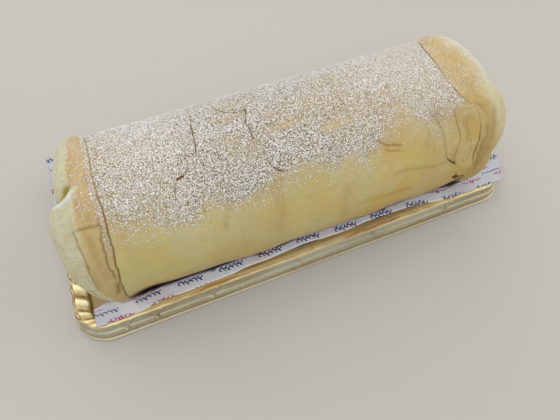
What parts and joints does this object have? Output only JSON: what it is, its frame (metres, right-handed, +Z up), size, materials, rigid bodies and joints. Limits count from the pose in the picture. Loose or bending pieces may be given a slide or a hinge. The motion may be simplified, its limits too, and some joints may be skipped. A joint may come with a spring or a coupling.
{
  "type": "whole roll cake on a tray",
  "caption": "Whole sponge roll cake dusted with sugar, its ends folded shut, on a printed paper liner in a shallow gold plastic tray.",
  "frame": {"origin": "centre of the tray's flat underside", "axes": "+X along the roll, from the two-lobed end to the pleated end; +Y away from the side with the pleats; +Z up"},
  "size_m": [0.302, 0.1301, 0.0959],
  "materials": {
    "sponge": "soft matte baked sponge skin, dusted with powdered sugar over the top",
    "folded_sponge": "soft matte sponge, pale crumb towards the tip and a tan skin beside the joint",
    "paper": "smooth white printed food paper",
    "gold_plastic": "glossy gold-tinted formed plastic sheet"
  },
  "bodies": {
    "root": {"sponge_roll": "sponge", "folded_end_left": "folded_sponge", "folded_end_right": "folded_sponge", "paper_liner": "paper", "tray": "gold_plastic"}
  },
  "joints": []
}
